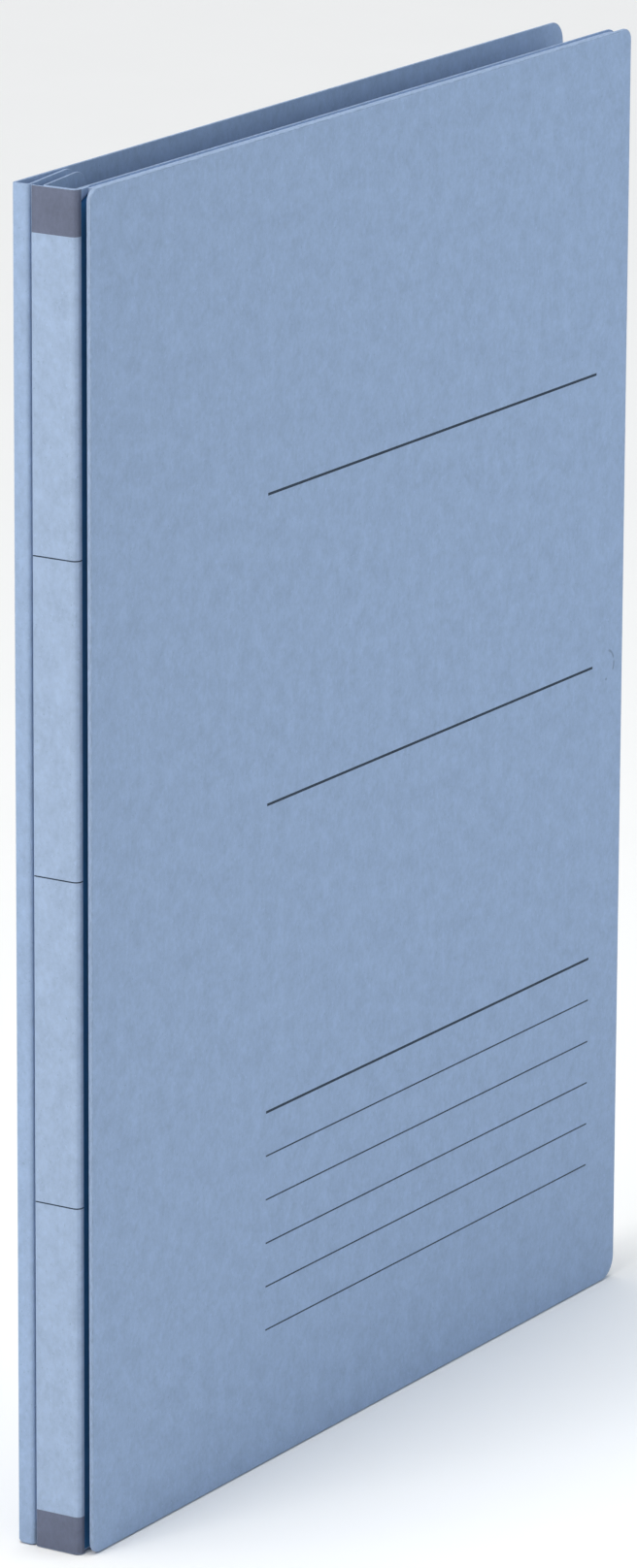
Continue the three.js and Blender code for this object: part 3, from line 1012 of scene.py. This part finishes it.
def build_base():
    """The plate behind the back flap that both straps grow from."""
    plate = laid(prism(stadium(BASE_WIDTH, BASE_LENGTH), -BASE_FRONT - PLATE_CARD, -BASE_FRONT))
    reach = BASE_LENGTH / 2 - BASE_RIB_INSET
    ribs = []
    for x in BASE_RIBS:
        outline = rectangle(x - BASE_RIB_HALF, x + BASE_RIB_HALF, BASE_FRONT + OVERLAP, BASE_BACK)
        ribs.append(prism(outline, -reach, reach))
    bosses = []
    for side in (-1, 1):
        outline = rounded(BASE_WIDTH - 0.6, BOSS_LENGTH, BOSS_CORNER)
        boss = laid(prism(outline, -BASE_BACK, -BASE_FRONT - 0.1))
        boss.data.transform(Matrix.Translation((0, 0, side * HOLE_SPACING / 2)))
        bosses.append(boss)
    combine(plate, "UNION", *ribs, *bosses)
    base = moulding(plate, "fastener_base_plate", fastener_plastic, 0.12)
    painted(base, "fastener_plastic", "fastener_base")
    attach(base, "back_spine")


def build_bar():
    """The channel that presses on the papers, with its rails, rib, strap slots and end pads."""
    side = BAR_WIDTH / 2
    rails = BAR_FACE - RAIL
    section = [(-RIB_HALF, BAR_REST), (-RIB_HALF, BAR_BACK), (-side, BAR_BACK), (-side, rails),
               (RAIL - side, rails), (RAIL - side, BAR_FACE), (side - RAIL, BAR_FACE), (side - RAIL, rails),
               (side, rails), (side, BAR_BACK), (RIB_HALF, BAR_BACK), (RIB_HALF, BAR_REST)]
    bar = prism(section, -BAR_LENGTH / 2, BAR_LENGTH / 2)
    combine(bar, "INTERSECT", laid(prism(rounded(BAR_WIDTH, BAR_LENGTH, BAR_CORNER), 0, DEPTH)))
    half = STRAP_WIDTH / 2 + SLOT_SIDE
    slots = []
    stops = []
    for way in (-1, 1):
        hole = way * HOLE_SPACING / 2
        ends = sorted((hole - way * SLOT_INSIDE, hole + way * SLOT_OUTSIDE))
        slots.append(prism(rectangle(-half, half, CUT_FRONT, CUT_BACK), *ends))
        outline = rectangle(STOP_INSET - side, side - STOP_INSET, BAR_FACE - 0.5, BAR_FACE + OVERLAP)
        place = way * (BAR_LENGTH / 2 - STOP_FROM_END)
        stops.append(prism(outline, place - STOP_HALF, place + STOP_HALF))
    combine(bar, "DIFFERENCE", *slots)
    guides = []
    for x in GUIDES_ACROSS:
        outline = rectangle(x - GUIDE_HALF, x + GUIDE_HALF, BAR_FACE - 0.25, BAR_FACE + OVERLAP)
        guides += [prism(outline, low, high) for low, high in GUIDES_ALONG]
    combine(bar, "UNION", *stops, *guides)
    bar = moulding(bar, "press_bar_channel", fastener_plastic, 0.1)
    painted(bar, "fastener_plastic", "press_bar")
    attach(bar, "press_bar")


def build_lock(name):
    """A slider that wraps the bar's edges and holds a strap's tail down, with a ridged thumb pad."""
    place = span(name)
    middle = (place.z0 + place.z1) / 2 - MIDDLE
    length = place.z1 - place.z0
    inside = BAR_WIDTH / 2 + LOCK_PLAY
    outside = inside + LOCK_WALL
    roof = BAR_FACE - RAIL - LOCK_PLAY
    top = roof - LOCK_WALL
    lip = BAR_BACK + LOCK_PLAY
    lip_back = lip + LOCK_LIP
    lip_in = outside - LOCK_LIP_REACH
    section = [(-outside, top), (outside, top), (outside, lip_back), (lip_in, lip_back), (lip_in, lip),
               (inside, lip), (inside, roof), (-inside, roof), (-inside, lip), (-lip_in, lip),
               (-lip_in, lip_back), (-outside, lip_back)]
    lock = prism(section, middle - length / 2, middle + length / 2)
    shape = laid(prism(rounded(2 * outside, length, LOCK_CORNER), 0, DEPTH))
    shape.data.transform(Matrix.Translation((0, 0, middle)))
    combine(lock, "INTERSECT", shape)
    ridges = []
    for k in range(LOCK_RIDGES):
        z = middle - length / 2 + length * (k + 1) / (LOCK_RIDGES + 1)
        ridge = laid(prism(stadium(RIDGE_THICKNESS, RIDGE_LENGTH), -roof, -top + RIDGE_HEIGHT))
        ridge.data.transform(Matrix.Translation((0, 0, z)) @ Matrix.Rotation(math.pi / 2, 4, "Y"))
        ridges.append(ridge)
    combine(lock, "UNION", *ridges)
    lock = moulding(lock, name + "_slider", lock_plastic, 0.15)
    painted(lock, "lock_plastic", name)
    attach(lock, name)


# ---- Camera, light and floor ----

YAW = math.radians(58.282)  # from +Y towards +X
PITCH = math.radians(15.354)  # below the horizon
ROLL = math.radians(0.292)
CAMERA_PLACE = (-1.5897, -0.9788, 0.6616)
LENS = 194.97


def build_camera():
    forward = Vector((math.sin(YAW) * math.cos(PITCH), math.cos(YAW) * math.cos(PITCH), -math.sin(PITCH)))
    level = Vector((math.cos(YAW), -math.sin(YAW), 0))
    upright = level.cross(forward)
    across = level * math.cos(ROLL) + upright * math.sin(ROLL)
    up = upright * math.cos(ROLL) - level * math.sin(ROLL)
    data = bpy.data.cameras.new("camera")
    data.lens = LENS
    data.clip_start = 0.1
    data.clip_end = 20
    camera = bpy.data.objects.new("camera", data)
    facing = Matrix((across, up, -forward)).transposed().to_4x4()
    camera.matrix_world = Matrix.Translation(CAMERA_PLACE) @ facing
    bpy.context.scene.collection.objects.link(camera)
    bpy.context.scene.camera = camera


def add_light(name, kind, place, target, power, colour):
    """A light at a place that shines on a target and isn't seen itself."""
    data = bpy.data.lights.new(name, kind)
    data.energy = power
    data.color = colour
    light = bpy.data.objects.new(name, data)
    light.location = place
    light.rotation_euler = (Vector(target) - Vector(place)).to_track_quat("-Z", "Y").to_euler()
    light.visible_camera = False
    bpy.context.scene.collection.objects.link(light)
    return data


# Each light: its kind, place, aim, power, colour, and its angle in degrees or its size in metres.
LIGHTS = {
    "key": ("AREA", (-1.0, 0.1, 0.95), (0, 0, 0.15), 5.9, (1, 0.97, 0.91), 0.6),
    "back_sun": ("SUN", (-1.0, 0.55, 1.45), (0, 0, 0.15), 0.3, (1, 0.98, 0.95), 35),
    "top_sun": ("SUN", (0.0, 0.1, 2.15), (0, 0, 0.15), 1.85, (1, 0.985, 0.965), 40),
    "front_fill": ("AREA", (0.35, -0.6, 0.55), (0.05, 0, 0.25), 1.05, (0.8, 0.92, 1), 0.35),
}
WORLD_COLOUR = (0.82, 0.91, 1)
WORLD_STRENGTH = 0.24
FLOOR_REACH = 6000
FLOOR_GAP = 0.2  # below the file's foot


def build_studio():
    for name, (kind, place, target, power, colour, spread) in LIGHTS.items():
        data = add_light(name, kind, place, target, power, colour)
        if kind == "SUN":
            data.angle = math.radians(spread)
        else:
            data.shape = "SQUARE"
            data.size = spread
    world = bpy.data.worlds.new("studio")
    world.use_nodes = True
    world.node_tree.nodes["Background"].inputs["Color"].default_value = (*WORLD_COLOUR, 1)
    world.node_tree.nodes["Background"].inputs["Strength"].default_value = WORLD_STRENGTH
    bpy.context.scene.world = world
    bpy.context.scene.view_settings.view_transform = "Standard"

    bm = bmesh.new()
    bmesh.ops.create_grid(bm, x_segments=2, y_segments=2, size=FLOOR_REACH)
    nodes = Nodes("floor_finish")
    tone = nodes.noise(60, detail=3)
    base = nodes.mix(tone, shade(FLOOR_COLOUR, 0.995), shade(FLOOR_COLOUR, 1.005))
    floor = finish_piece(bm, "floor", (nodes.finish(base, 0.9, specular=0.1),))
    floor.location.z = cad_bounds[0].z - FLOOR_GAP * MM


build_camera()
build_back()
build_front()
build_label()
build_extension_sheet()
build_base()
build_bar()
build_strap("upper_strap", 1)
build_strap("lower_strap", -1)
build_lock("upper_lock")
build_lock("lower_lock")
build_studio()
